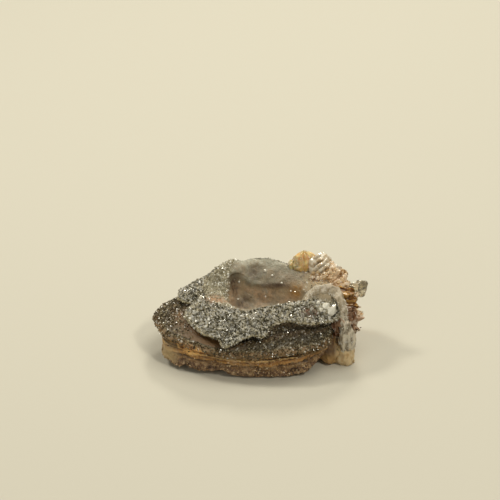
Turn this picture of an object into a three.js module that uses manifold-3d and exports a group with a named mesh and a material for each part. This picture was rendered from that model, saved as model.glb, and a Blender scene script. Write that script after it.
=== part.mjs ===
// Chalcedony rose: a small rosette of banded quartz that grew as one stone.
// A layered base carries two sugary lamellae, one above the other, round a deep bowl. On the right the
// lamellae break up into a fan of thin glassy petals, over a smooth cream foot.
// Millimetres, +Z up, -Y towards the viewer. The origin is under the middle of the stone, on the ground.
import * as THREE from "three";
import { mergeVertices } from "three/addons/utils/BufferGeometryUtils.js";
import Module from "manifold-3d";

// Driving dimensions
const SEGMENTS = 84; // round the stone
const CURVE_STEPS = 12 * SEGMENTS; // along an outline's curve, before it is read at equal angles
const PETAL_SEGMENTS = { around: 14, along: 9 };
const HEART = new THREE.Vector2(0.5, 1); // the axis that the lamellae grew round
const LIP = 0.4; // half the thickness of a lamella's edge
const EDGE_TUCK = 0.2; // how far the lower side of an edge is drawn in
const EDGE_SLOPE = 0.5; // how far in the upper side of an edge starts
const SKIRT_UNDERCUT = { inwards: 1.2, down: 0.8 }; // the groove under the skirt
const PLATE_UNDERCUT = { inwards: 0.9, down: 0.8 }; // the shadowed step under the plate
const BASE_BULGE = 0.3; // how far the base stands out between its foot and its shoulder
const SKIRT_SWELL = 0.3; // how far the skirt's upper side is domed
const PLATE_SWELL = 0.4; // the same for the plate
const BOWL_WALL = { share: 0.55, sag: 1 }; // where the bowl's wall bends, from lip to floor, and how far down
const BOWL_DEPTH = 6.4; // height of the bowl's lowest point above the ground
const GROUND_DEPTH = 10; // how deep the flat underside is cut from the raw shape
const SPAN = 60; // wider than the stone, for the cutting block
const WELD = 1e-4; // points nearer than this are one point

// Outlines of the stone, bottom to top, each starting at the left tip and running round by the front.
const CONTACT = [
  [-6.6, -1, 0], [-6.2, -6, 0], [-5, -9.4, 0], [-2.6, -10.3, 0], [1, -10.3, 0], [5.4, -9.8, 0],
  [8, -7.8, 0], [9, -4, 0], [9, 1, 0], [7, 5.4, 0], [2.4, 7.4, 0], [-3, 6.4, 0], [-6, 3, 0],
];
const BASE_FOOT = [
  [-18.3, -2.6, 1.9], [-18.2, -5.4, 1.5], [-17, -7, 1.1], [-15.4, -8, 1], [-14.4, -8.1, 1.7],
  [-13.4, -8.6, 1.2], [-11.4, -9.3, 0.9], [-9, -9.8, 0.9], [-7.2, -10, 1.3], [-5.6, -10.6, 0.6],
  [-3, -10.9, 0.4], [1, -10.9, 0.4], [5, -10.6, 0.5], [8, -10, 0.8], [9.6, -9.2, 1.3], [11.2, -7.8, 2],
  [13, -5.4, 2.4], [14.4, -1, 2.6], [14.4, 4, 2.6], [12, 8, 2.4], [6, 10.2, 2.2], [0, 10.8, 2],
  [-7, 10, 2], [-13, 7.6, 2], [-17, 3, 2],
];
const BASE_SHOULDER = [
  [-18.9, -2, 4.4], [-18.4, -5, 4.3], [-15.4, -7.3, 4.5], [-12, -9.1, 4.4], [-8.4, -10.4, 4.2],
  [-3, -11.2, 4], [3, -11.2, 4.2], [8, -10.4, 4.5], [12, -8, 4.6], [15, -4.4, 4.8], [16.4, 0, 5],
  [15, 5.6, 5], [8, 9.8, 5], [0, 11, 5], [-9, 10.2, 5], [-15, 7.2, 5], [-18.4, 3, 5],
];
const SKIRT_EDGE = [
  [-20.9, 1, 6.4], [-20.1, -2.4, 6.3], [-18.5, -5.4, 5.9], [-15.6, -7.8, 6.1], [-12.5, -9.6, 6.1],
  [-8.8, -11, 5.7], [-6.4, -11.6, 5.5], [-3.1, -12, 5.6], [2, -12, 5.9], [6.4, -11.5, 6.1],
  [9.8, -10.4, 6.1], [12.3, -8.8, 5.8], [14.6, -5.6, 6], [17, 0, 6.4], [16.4, 6.4, 7], [8.4, 10.8, 7.2],
  [0, 12, 7], [-9, 11.2, 6.8], [-16, 8, 6.6], [-19.8, 4.4, 6.5],
];
const WAIST = [
  [-14.8, 1, 9], [-13.4, -1.6, 9], [-12.6, -4.4, 8.6], [-9.6, -7.2, 7.7], [-6.6, -8.6, 7.3],
  [-3, -9, 7.7], [1.4, -8.6, 8.4], [4, -7.6, 9.3], [8, -7.2, 9.4], [12, -6, 8.8], [15, -3, 9],
  [15, 2, 9.4], [10.6, 7.4, 9.6], [4, 9.4, 10], [-2, 9.6, 10], [-8, 8.8, 9.5], [-13, 5.4, 9.2],
];
const PLATE_EDGE = [
  [-16.4, 3, 9.7], [-15, 1, 9.9], [-13.3, -0.5, 10.2], [-14.1, -1.8, 10], [-14.6, -3.5, 9.7],
  [-14.1, -5.2, 9.5], [-12.7, -7, 9.2], [-11.1, -8.8, 8.7], [-9.4, -9.8, 8.5], [-7.9, -10.5, 8.2],
  [-7.3, -11.4, 7.4], [-6.4, -11.6, 7.4], [-4.6, -11.4, 8.1], [-3.1, -11, 8.8], [-1.3, -10.7, 9.3],
  [0.5, -10.8, 9], [1.5, -10.3, 9.5], [2.1, -9.3, 10.3], [3, -8.8, 10.8], [5.2, -8.6, 11.2],
  [8.2, -8.5, 11], [10.9, -8.2, 10.4], [13.3, -7, 10.3], [15.2, -5.6, 10], [16.4, -2.6, 10.4],
  [16.4, 2, 10.8], [13, 7.4, 11.4], [8, 10.2, 12], [3, 11.4, 12], [-3, 11.6, 11.8], [-9, 9.8, 11],
  [-11.4, 8.2, 10.5], [-13.4, 6.9, 10.3], [-16, 5, 9.9],
];
const RIM = [
  [-11, 3.8, 12.9], [-10.8, 1.4, 12.5], [-10.4, -0.8, 12.3], [-9, -2.6, 12.3], [-6.8, -3.6, 12.3],
  [-5.2, -4.2, 12], [-3.6, -4.8, 11.9], [-2, -5, 12], [0.5, -5.1, 12.7], [3.5, -5, 13.3],
  [6.4, -4.6, 13.6], [8.4, -4, 13.7], [10.4, -3, 13.8], [13, -1, 13.8], [13.4, 2, 13.6],
  [11, 5.6, 14], [8, 7.4, 14.3], [5.3, 8, 14.4], [3.5, 8.4, 15], [1.4, 8.8, 15.4], [-1.4, 8.8, 15.4],
  [-3, 8.6, 14.8], [-5.2, 8, 15.7], [-7.4, 6.4, 15.2], [-9.2, 5, 14.2],
];
const BOWL_LIP = [
  [-6.6, 1.6, 11.8], [-6.2, -0.6, 11.4], [-4.8, -2.8, 11.3], [-2, -4, 11.3], [2, -4.2, 12], [6, -3.7, 12.6],
  [8.6, -2.2, 12.6], [9.4, 0.4, 12], [8, 3, 12], [5.4, 4.6, 11.8], [2, 5, 12], [-1.6, 5.4, 12.6],
  [-4.2, 5.6, 13.8], [-5.9, 4.6, 13.8],
];
const BOWL_FLOOR = [
  [-4.4, 1.4, 7.4], [-2.6, -1, 7.2], [1.2, -1.8, 7], [5, -0.8, 7], [7, 1.4, 7], [5.2, 3.6, 7.2],
  [1.2, 4.4, 7.4], [-2.8, 3.4, 7.6],
];

// Lens-shaped growths: from root to tip, with the way that the flat side faces, in millimetres.
const UPRIGHT_PETALS = [
  { root: [8.8, 7.4, 11.6], tip: [8.7, 8.2, 17.2], faces: [-0.1, -1, 0.4], width: 6, thick: 2.8 },
  { root: [10.8, 5.6, 11.6], tip: [12.4, 7.4, 17.5], faces: [-0.7, -0.6, 0.4], width: 4.2, thick: 1.2 },
  { root: [11.2, 4.9, 11.4], tip: [13.5, 7, 17], faces: [-0.7, -0.6, 0.4], width: 4.2, thick: 1.2 },
  { root: [11.6, 4.2, 11.2], tip: [14.2, 6.2, 16], faces: [-0.7, -0.6, 0.4], width: 4, thick: 1.2 },
  { root: [11.4, 2.6, 11], tip: [15.6, 4.8, 15.1], faces: [-0.4, -0.8, 0.6], width: 6, thick: 1.4 },
  { root: [11.4, 1.6, 10.8], tip: [17.2, 3.8, 14], faces: [-0.3, -0.7, 0.7], width: 5.6, thick: 1.4 },
];
const LEVEL_PETALS = [
  { root: [10.8, 0.4, 9.8], tip: [18.2, 2.2, 12.2], faces: [0, -0.5, 0.9], width: 7, thick: 1.4 },
  { root: [14.4, 2, 10.6], tip: [20.9, 2.9, 13], faces: [0, -0.8, 0.6], width: 3.4, thick: 2.2 },
  { root: [11.6, -0.6, 9.2], tip: [18.9, 0.4, 10.6], faces: [0, -0.6, 0.8], width: 7, thick: 1.4 },
];
const HANGING_PETALS = [
  { root: [13, -1.4, 9], tip: [19.6, -1.4, 9.9], faces: [0, -0.7, 0.7], width: 4, thick: 1 },
  { root: [13, -2, 8], tip: [19.9, -2.4, 8.6], faces: [0, -0.8, 0.6], width: 4, thick: 1 },
  { root: [13, -2.4, 7], tip: [19.2, -3.6, 7.4], faces: [0.2, -0.8, 0.4], width: 4, thick: 1 },
  { root: [13, -3, 6.4], tip: [19.3, -4.3, 6.2], faces: [0.2, -0.8, 0.4], width: 3.6, thick: 1 },
];
const FAR_PETALS = [
  { root: [8.6, 4, 9.6], tip: [12.6, 9.8, 14], faces: [0.7, -0.5, 0.5], width: 6.4, thick: 1.4 },
  { root: [10, 3, 9.6], tip: [16.2, 7.8, 12.8], faces: [0.5, -0.5, 0.7], width: 6.4, thick: 1.4 },
  { root: [11, 2, 8.6], tip: [19.2, 5, 10], faces: [0.3, -0.2, 0.9], width: 7, thick: 1.4 },
  { root: [11, 3, 7], tip: [17.6, 7.8, 7.8], faces: [0.1, 0.3, 1], width: 7, thick: 1.4 },
  { root: [12, 0, 6.6], tip: [19.8, 1.2, 7.2], faces: [0, 0.1, 1], width: 7, thick: 1.4 },
];
const CURLED_LAMELLA = {
  root: [15, -2, 12.4], tip: [17.7, -6.4, 2.6], faces: [0.5, -0.8, 0.3], width: 4.6, thick: 2.4,
};
const FEET = [
  { root: [16.4, -3, 6.4], tip: [16.9, -4.6, -1.2], faces: [0, -1, 0], width: 4.4, thick: 5 },
  { root: [13.6, -4, 6], tip: [14, -5.2, 0.4], faces: [0, -1, 0], width: 4, thick: 4.4 },
];
const GROWTHS = [
  ...UPRIGHT_PETALS, ...LEVEL_PETALS, ...HANGING_PETALS, ...FAR_PETALS, CURLED_LAMELLA, ...FEET,
];
const ROOT_SPREAD = 0.6; // a growth's width at its root, as a share of the stated width
const TIP_SPREAD = 1.1; // the same at its tip, where it fans out

const wasm = await Module();
wasm.setup();

// A closed geometry as a solid that can be joined and cut.
function toSolid(geometry) {
  const bare = geometry.clone();
  bare.deleteAttribute("normal");
  bare.deleteAttribute("uv");
  const merged = mergeVertices(bare, WELD);
  const corners = merged.index.array;
  const kept = [];
  for (let i = 0; i < corners.length; i += 3) {
    const [a, b, c] = corners.slice(i, i + 3);
    if (a !== b && b !== c && c !== a) kept.push(a, b, c);
  }
  return new wasm.Manifold(
    new wasm.Mesh({
      numProp: 3,
      vertProperties: merged.attributes.position.array,
      triVerts: new Uint32Array(kept),
    }),
  );
}

// A solid as a geometry with flat faces.
function toGeometry(solid) {
  const mesh = solid.getMesh();
  const geometry = new THREE.BufferGeometry();
  geometry.setAttribute("position", new THREE.BufferAttribute(mesh.vertProperties, 3));
  geometry.setIndex(new THREE.BufferAttribute(mesh.triVerts, 1));
  const flat = geometry.toNonIndexed();
  flat.computeVertexNormals();
  return flat;
}

// An outline's smooth closed curve, read at equal angles round the heart.
function ring(outline) {
  const curve = new THREE.CatmullRomCurve3(outline.map((p) => new THREE.Vector3(...p)), true);
  const angleOf = (p) => Math.atan2(p.y - HEART.y, p.x - HEART.x);
  const along = curve.getPoints(CURVE_STEPS).slice(0, -1);
  along.sort((a, b) => angleOf(a) - angleOf(b));
  const angles = along.map(angleOf);
  return Array.from({ length: SEGMENTS }, (_, i) => {
    const wanted = -Math.PI + (2 * Math.PI * i) / SEGMENTS;
    const next = angles.findIndex((a) => a >= wanted);
    const high = next < 0 ? 0 : next;
    const low = (high + along.length - 1) % along.length;
    const gap = (angles[high] - angles[low] + 2 * Math.PI) % (2 * Math.PI);
    const part = ((wanted - angles[low] + 2 * Math.PI) % (2 * Math.PI)) / gap;
    return along[low].clone().lerp(along[high], part);
  });
}

// A ring moved towards the heart and up.
function inset(points, inwards, up) {
  return points.map((p) => {
    const out = new THREE.Vector2(p.x, p.y).sub(HEART);
    out.setLength(out.length() - inwards).add(HEART);
    return new THREE.Vector3(out.x, out.y, p.z + up);
  });
}

// A ring part of the way from one ring to another, raised by a swell.
function between(from, to, part, swell) {
  return from.map((p, i) => {
    const q = p.clone().lerp(to[i], part);
    q.z += swell;
    return q;
  });
}

// A ring shrunk to a point on the heart.
function pole(height) {
  return Array.from({ length: SEGMENTS }, () => new THREE.Vector3(HEART.x, HEART.y, height));
}

// A closed skin through a stack of rings, from the pole underneath to the pole in the bowl.
function loft(rings) {
  const geometry = new THREE.LatheGeometry(rings.map((_, j) => new THREE.Vector2(1, j)), SEGMENTS);
  const position = geometry.attributes.position;
  for (let i = 0; i <= SEGMENTS; i++) {
    for (let j = 0; j < rings.length; j++) {
      const p = rings[j][i % SEGMENTS];
      position.setXYZ(i * rings.length + j, p.x, p.y, p.z);
    }
  }
  return geometry;
}

// The stone's body: base, skirt lamella, plate lamella and bowl.
function body() {
  const foot = ring(BASE_FOOT);
  const shoulder = ring(BASE_SHOULDER);
  const skirt = ring(SKIRT_EDGE);
  const waist = ring(WAIST);
  const plate = ring(PLATE_EDGE);
  const rim = ring(RIM);
  const bowlLip = ring(BOWL_LIP);
  const floor = ring(BOWL_FLOOR);
  return loft([
    pole(0),
    ring(CONTACT),
    foot,
    inset(between(foot, shoulder, 0.5, 0), -BASE_BULGE, 0),
    shoulder,
    inset(skirt, SKIRT_UNDERCUT.inwards, -SKIRT_UNDERCUT.down),
    inset(skirt, EDGE_TUCK, -LIP),
    skirt,
    inset(skirt, EDGE_SLOPE, LIP),
    between(skirt, waist, 0.5, SKIRT_SWELL),
    waist,
    inset(plate, PLATE_UNDERCUT.inwards, -PLATE_UNDERCUT.down),
    inset(plate, EDGE_TUCK, -LIP),
    plate,
    inset(plate, EDGE_SLOPE, LIP),
    between(plate, rim, 0.5, PLATE_SWELL),
    rim,
    bowlLip,
    between(bowlLip, floor, BOWL_WALL.share, -BOWL_WALL.sag),
    floor,
    pole(BOWL_DEPTH),
  ]);
}

// A petal: a ball flattened to a lens and widened towards its tip.
function petal({ root, tip, faces, width, thick }) {
  const start = new THREE.Vector3(...root);
  const length = new THREE.Vector3(...tip).sub(start);
  const along = length.clone().normalize();
  const across = new THREE.Vector3(...faces).cross(along).normalize();
  const face = along.clone().cross(across);
  const geometry = new THREE.SphereGeometry(1, PETAL_SEGMENTS.around, PETAL_SEGMENTS.along);
  const position = geometry.attributes.position;
  for (let i = 0; i < position.count; i++) {
    const share = (position.getY(i) + 1) / 2;
    const spread = THREE.MathUtils.lerp(ROOT_SPREAD, TIP_SPREAD, share);
    const p = start.clone().addScaledVector(along, share * length.length());
    p.addScaledVector(face, (position.getX(i) * thick) / 2);
    p.addScaledVector(across, (position.getZ(i) * spread * width) / 2);
    position.setXYZ(i, p.x, p.y, p.z);
  }
  return geometry;
}

// One stone: everything that grew together is joined, then set flat on the ground.
function stone() {
  const grown = GROWTHS.map((growth) => toSolid(petal(growth)));
  const joined = grown.reduce((all, one) => all.add(one), toSolid(body()));
  const ground = new THREE.BoxGeometry(SPAN, SPAN, GROUND_DEPTH).translate(0, 0, -GROUND_DEPTH / 2);
  const geometry = toGeometry(joined.subtract(toSolid(ground)));
  geometry.computeBoundingBox();
  const middle = geometry.boundingBox.getCenter(new THREE.Vector3());
  return geometry.translate(-middle.x, -middle.y, -geometry.boundingBox.min.z);
}

const banded = new THREE.MeshStandardMaterial({ color: 0x8d7a69, roughness: 0.45, metalness: 0 });
const rose = new THREE.Group();
const mesh = new THREE.Mesh(stone(), banded);
mesh.name = "chalcedony_rose";
rose.add(mesh);

export default rose;
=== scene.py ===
import math

import bpy
import numpy as np
from mathutils import Euler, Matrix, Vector, noise


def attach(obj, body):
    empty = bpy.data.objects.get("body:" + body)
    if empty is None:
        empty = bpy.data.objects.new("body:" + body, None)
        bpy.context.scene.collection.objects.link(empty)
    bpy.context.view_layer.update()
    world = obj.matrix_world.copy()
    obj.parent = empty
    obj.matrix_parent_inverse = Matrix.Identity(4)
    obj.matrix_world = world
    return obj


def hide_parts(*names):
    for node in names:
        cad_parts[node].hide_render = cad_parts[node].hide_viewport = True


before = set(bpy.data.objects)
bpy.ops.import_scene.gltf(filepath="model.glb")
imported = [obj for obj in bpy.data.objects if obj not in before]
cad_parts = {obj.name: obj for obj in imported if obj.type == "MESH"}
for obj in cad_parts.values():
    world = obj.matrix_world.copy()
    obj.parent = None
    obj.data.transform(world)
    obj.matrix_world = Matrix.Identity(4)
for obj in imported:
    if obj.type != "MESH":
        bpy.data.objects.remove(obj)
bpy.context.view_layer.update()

# The body of the rose: grey chalcedony that grew as one stack of saucers, a wide skirt below and a ruffled
# plate above, round a smooth bowl. It is built as rings round a heart, each ring an outline in millimetres
# that starts at the left tip and runs round by the front.
MM = 0.001
COLUMNS = 380
HEART = (0.5, 1.0)
CONTACT = (
    (-6.6, -1, 0), (-6.2, -6, 0), (-5, -9.4, 0), (-2.6, -10.3, 0), (1, -10.3, 0), (5.4, -9.8, 0),
    (8, -7.8, 0), (9, -4, 0), (9, 1, 0), (7, 5.4, 0), (2.4, 7.4, 0), (-3, 6.4, 0), (-6, 3, 0),
)
BASE_FOOT = (
    (-18.3, -2.6, 1.9), (-18.2, -5.4, 1.5), (-17, -7, 1.1), (-15.4, -8, 1), (-14.4, -8.1, 1.7),
    (-13.4, -8.6, 1.2), (-11.4, -9.3, 0.9), (-9, -9.8, 0.9), (-7.2, -10, 1.3), (-5.6, -10.6, 0.6),
    (-3, -10.9, 0.4), (1, -10.9, 0.4), (5, -10.6, 0.5), (8, -10, 0.8), (9.6, -9.2, 1.3), (11.2, -7.8, 2),
    (13, -5.4, 2.4), (14.4, -1, 2.6), (14.4, 4, 2.6), (12, 8, 2.4), (6, 10.2, 2.2), (0, 10.8, 2),
    (-7, 10, 2), (-13, 7.6, 2), (-17, 3, 2),
)
BASE_SHOULDER = (
    (-18.9, -2, 4.4), (-18.4, -5, 4.3), (-15.4, -7.3, 4.5), (-12, -9.1, 4.4), (-8.4, -10.4, 4.2),
    (-3, -11.2, 4), (3, -11.2, 4.2), (8, -10.4, 4.5), (12, -8, 4.6), (15, -4.4, 4.8), (16.4, 0, 5),
    (15, 5.6, 5), (8, 9.8, 5), (0, 11, 5), (-9, 10.2, 5), (-15, 7.2, 5), (-18.4, 3, 5),
)
SKIRT_EDGE = (
    (-20.9, 1, 6.4), (-20.1, -2.4, 6.3), (-18.5, -5.4, 5.9), (-15.6, -7.8, 6.1), (-12.5, -9.6, 6.1),
    (-8.8, -11, 5.7), (-6.4, -11.6, 5.5), (-3.1, -12, 5.6), (2, -12, 5.9), (6.4, -11.5, 6.1),
    (9.8, -10.4, 6.1), (12.3, -8.8, 5.8), (14.6, -5.6, 6), (17, 0, 6.4), (16.4, 6.4, 7), (8.4, 10.8, 7.2),
    (0, 12, 7), (-9, 11.2, 6.8), (-16, 8, 6.6), (-19.8, 4.4, 6.5),
)
WAIST = (
    (-14.8, 1, 9), (-13.4, -1.6, 9), (-12.6, -4.4, 8.6), (-9.6, -7.2, 7.7), (-6.6, -8.6, 7.3),
    (-3, -9, 7.7), (1.4, -8.6, 8.4), (4, -7.6, 9.3), (8, -7.2, 9.4), (12, -6, 8.8), (15, -3, 9),
    (15, 2, 9.4), (10.6, 7.4, 9.6), (4, 9.4, 10), (-2, 9.6, 10), (-8, 8.8, 9.5), (-13, 5.4, 9.2),
)
PLATE_EDGE = (
    (-16.4, 3, 9.7), (-15, 1, 9.9), (-13.3, -0.5, 10.2), (-14.1, -1.8, 10), (-14.6, -3.5, 9.7),
    (-14.1, -5.2, 9.5), (-12.7, -7, 9.2), (-11.1, -8.8, 8.7), (-9.4, -9.8, 8.5), (-7.9, -10.5, 8.2),
    (-7.3, -11.4, 7.4), (-6.4, -11.6, 7.4), (-4.6, -11.4, 8.1), (-3.1, -11, 8.8), (-1.3, -10.7, 9.3),
    (0.5, -10.8, 9), (1.5, -10.3, 9.5), (2.1, -9.3, 10.3), (3, -8.8, 10.8), (5.2, -8.6, 11.2),
    (8.2, -8.5, 11), (10.9, -8.2, 10.4), (13.3, -7, 10.3), (15.2, -5.6, 10), (16.4, -2.6, 10.4),
    (16.4, 2, 10.8), (13, 7.4, 11.4), (8, 10.2, 12), (3, 11.4, 12), (-3, 11.6, 11.8), (-9, 9.8, 11),
    (-11.4, 8.2, 10.5), (-13.4, 6.9, 10.3), (-16, 5, 9.9),
)
RIM = (
    (-11, 3.8, 12.9), (-10.8, 1.4, 12.5), (-10.4, -0.8, 12.3), (-9, -2.6, 12.3), (-6.8, -3.6, 12.3),
    (-5.2, -4.2, 12), (-3.6, -4.8, 11.9), (-2, -5, 12), (0.5, -5.1, 12.7), (3.5, -5, 13.3),
    (6.4, -4.6, 13.6), (8.4, -4, 13.7), (10.4, -3, 13.8), (13, -1, 13.8), (13.4, 2, 13.6),
    (11, 5.6, 14), (8, 7.4, 14.3), (5.3, 8, 14.4), (3.5, 8.4, 15), (1.4, 8.8, 15.4), (-1.4, 8.8, 15.4),
    (-3, 8.6, 14.8), (-5.2, 8, 15.7), (-7.4, 6.4, 15.2), (-9.2, 5, 14.2),
)
BOWL_LIP = (
    (-6.6, 1.6, 11.8), (-6.2, -0.6, 11.4), (-4.8, -2.8, 11.3), (-2, -4, 11.3), (2, -4.2, 12),
    (6, -3.7, 12.6), (8.6, -2.2, 12.6), (9.4, 0.4, 12), (8, 3, 12), (5.4, 4.6, 11.8), (2, 5, 12),
    (-1.6, 5.4, 12.6), (-4.2, 5.6, 13.8), (-5.9, 4.6, 13.8),
)
BOWL_FLOOR = (
    (-4.4, 1.4, 7.4), (-2.6, -1, 7.2), (1.2, -1.8, 7), (5, -0.8, 7), (7, 1.4, 7), (5.2, 3.6, 7.2),
    (1.2, 4.4, 7.4), (-2.8, 3.4, 7.6),
)
BOWL_DEPTH = 6.4
BOWL_WALL_SHARE = 0.55
BOWL_WALL_SAG = 1
LIP = 0.4
EDGE_TUCK = 0.2
EDGE_SLOPE = 0.5
SKIRT_UNDERCUT = 1.2
PLATE_UNDERCUT = 0.9
SKIRT_SWELL = 0.3
PLATE_SWELL = 0.4

turns = np.linspace(0, 2 * math.pi, COLUMNS, endpoint=False)


def read_round(places, values):
    """Values that are given at some turns round the heart, read at every column without overshoot."""
    order = np.argsort(places)
    place = np.concatenate([places[order] + lap for lap in (-2 * math.pi, 0, 2 * math.pi)])
    value = np.tile(values[order], 3)
    step = np.diff(place)
    slope = np.diff(value) / step
    before, after = slope[:-1], slope[1:]
    same_way = before * after > 0
    grade = np.zeros_like(value)
    grade[1:-1][same_way] = 2 * before[same_way] * after[same_way] / (before[same_way] + after[same_way])
    left = np.searchsorted(place, turns, side="right") - 1
    share = (turns - place[left]) / step[left]
    rise = value[left + 1] - value[left]
    start, end = grade[left] * step[left], grade[left + 1] * step[left]
    return value[left] + share * (
        start + share * (3 * rise - 2 * start - end + share * (start + end - 2 * rise))
    )


def outline(places):
    """The reach from the heart and the height of a closed outline, at every column."""
    x, y, z = np.array(places, float).T
    bearing = np.arctan2(y - HEART[1], x - HEART[0]) % (2 * math.pi)
    return np.array([read_round(bearing, np.hypot(x - HEART[0], y - HEART[1])), read_round(bearing, z)])


def moved(ring, inwards, up):
    """A ring drawn in towards the heart and lifted."""
    return ring + np.array([[-inwards], [up]])


def pole(height):
    """The ring of no reach that closes the body at the heart."""
    return np.array([np.zeros(COLUMNS), np.full(COLUMNS, height)])


skirt, waist, plate, rim = outline(SKIRT_EDGE), outline(WAIST), outline(PLATE_EDGE), outline(RIM)
bowl_lip, bowl_floor = outline(BOWL_LIP), outline(BOWL_FLOOR)
bowl_wall = (1 - BOWL_WALL_SHARE) * bowl_lip + BOWL_WALL_SHARE * bowl_floor
skirt_top, plate_top = moved(skirt, EDGE_SLOPE, LIP), moved(plate, EDGE_SLOPE, LIP)
BANDS = (
    ("under", pole(0), 8),
    ("under", outline(CONTACT), 14),
    ("base", outline(BASE_FOOT), 30),
    ("base", outline(BASE_SHOULDER), 18),
    ("groove", moved(skirt, SKIRT_UNDERCUT, -2 * LIP), 6),
    ("skirt_edge", moved(skirt, EDGE_TUCK, -LIP), 3),
    ("skirt_edge", skirt, 3),
    ("skirt", skirt_top, 22),
    ("skirt", moved((skirt_top + waist) / 2, 0, SKIRT_SWELL), 18),
    ("shade", waist, 10),
    ("shade", moved(plate, PLATE_UNDERCUT, -2 * LIP), 5),
    ("plate_edge", moved(plate, EDGE_TUCK, -LIP), 3),
    ("plate_edge", plate, 3),
    ("plate", plate_top, 24),
    ("plate", moved((plate_top + rim) / 2, 0, PLATE_SWELL), 24),
    ("rim", rim, 16),
    ("bowl", bowl_lip, 24),
    ("bowl", moved(bowl_wall, 0, -BOWL_WALL_SAG), 16),
    ("bowl", bowl_floor, 12),
    ("bowl", pole(BOWL_DEPTH), 0),
)
BOWL_SOFTENINGS = 14
rows, zones = [], []
for (zone, ring, count), (_, following, _) in zip(BANDS, BANDS[1:]):
    for step in range(count):
        rows.append(ring + (following - ring) * step / count)
        zones.append(zone)
profile = np.array(rows + [BANDS[-1][1]])
zones = np.array(zones + [BANDS[-1][0]])
hollow = np.isin(zones, ("rim", "bowl"))[1:-1, None, None]
for softening in range(BOWL_SOFTENINGS):
    softened = (profile[:-2] + 2 * profile[1:-1] + profile[2:]) / 4
    profile[1:-1] = np.where(hollow | (softening == 0), softened, profile[1:-1])


def zone_share(*names):
    """How far each row belongs to the named zones, from 0 to 1, softened over the rows beside them."""
    inside = np.isin(zones, names).astype(float)
    padded = np.pad(inside, 2, mode="edge")
    return np.convolve(padded, (0.1, 0.2, 0.4, 0.2, 0.1), mode="valid")[:, None]


def progress(name):
    """How far along a zone each of its rows lies, from 0 to 1, and 0 on all other rows."""
    inside = np.flatnonzero(zones == name)
    share = np.zeros((len(zones), 1))
    share[inside, 0] = np.linspace(0, 1, len(inside))
    return share


def hump(values, centre, reach):
    """A soft bell that is 1 where the values are at its centre."""
    return np.exp(-(((values - centre) / reach) ** 2))


SEED_SHIFT = Vector((17.3, -9.1, 4.7))
FADE = 0.9
FINER = 2.1


def cloud(points, size, octaves=4, seed=0):
    """Soft noise from about -1 to 1 at each point, with lumps of that size in the points' own unit."""
    shift = SEED_SHIFT * seed
    flat = points.reshape(-1, 3) / size
    values = [noise.fractal(Vector(p) + shift, FADE, FINER, octaves) for p in flat]
    return np.array(values).reshape(points.shape[:-1])


def stand(profile):
    """The points in millimetres of a profile of reaches and heights."""
    reach, height = profile[:, 0], profile[:, 1]
    return np.stack([HEART[0] + reach * np.cos(turns), HEART[1] + reach * np.sin(turns), height], axis=-1)


def outward(points):
    """Unit normals of a grid of rows round the heart."""
    along = np.gradient(points, axis=0)
    around = np.roll(points, -1, axis=1) - np.roll(points, 1, axis=1)
    normal = np.cross(around, along)
    return normal / np.maximum(np.linalg.norm(normal, axis=-1, keepdims=True), 1e-9)


def spot(centre, radius):
    """A soft round patch about a place on the body as it is so far, 1 in its middle and 0 outside."""
    away = np.linalg.norm((points - np.array(centre)) / np.array(radius), axis=-1)
    return np.clip(1.5 - 1.5 * away, 0, 1)


# The base shows the edges of its saucers as ledges with dark seams between them, except on its cream lump.
LEDGES = 5
LEDGE_DEPTH = 0.5
up_base, up_skirt, down_bowl = progress("base"), progress("skirt"), progress("bowl")
points = stand(profile)
ledge_phase = LEDGES * up_base + 0.6 * cloud(points * (1, 1, 0.2), 9, 3, 1)
seam = np.abs(2 * (ledge_phase % 1) - 1) ** 4
layered = np.clip((up_base - 0.2 + 0.35 * cloud(points, 6, 2, 9)) / 0.25, 0, 1)
cream = np.clip(spot((-17.4, -6.2, 2.4), (2.8, 2.8, 3)) + spot((-17.6, -1, 3), (2.5, 5, 2.4)), 0, 1)
layered = layered * (1 - cream)
fade = layered * np.sin(math.pi * up_base) ** 0.4
profile[:, 0] -= LEDGE_DEPTH * (0.7 + 0.6 * cloud(points, 5, 2, 2)) * seam * fade

# Both saucer edges are ragged.
ragged = 0.35 * cloud(points, 1.6, 4, 3)
profile[:, 0] += ragged * zone_share("plate_edge", "shade") * 0.9
profile[:, 0] += ragged * zone_share("skirt_edge", "groove") * 0.8

# The bowl's wall is fluted, its back hangs over as a soft ledge, and a deep fold runs down it at the left.
FLUTE_DEPTH = 0.8
LEDGE_HANG = 0.3
FOLD_DEPTH = 1.5
FOLD_TURN = math.radians(140)
flutes = cloud(np.stack([np.cos(turns), np.sin(turns), np.zeros(COLUMNS)], axis=-1), 0.5, 1, 4)
wall = np.sin(math.pi * down_bowl)
profile[:, 0] += FLUTE_DEPTH * flutes * wall * zone_share("bowl")
overhang = np.clip(np.sin(turns - 0.5) + 0.6 * flutes, 0, 1) * hump(down_bowl, 0.12, 0.07)
profile[:, 0] -= LEDGE_HANG * overhang * zone_share("bowl", "rim")
profile[:, 0] += FOLD_DEPTH * hump(turns, FOLD_TURN, 0.2) * wall ** 0.5 * zone_share("bowl")

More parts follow.
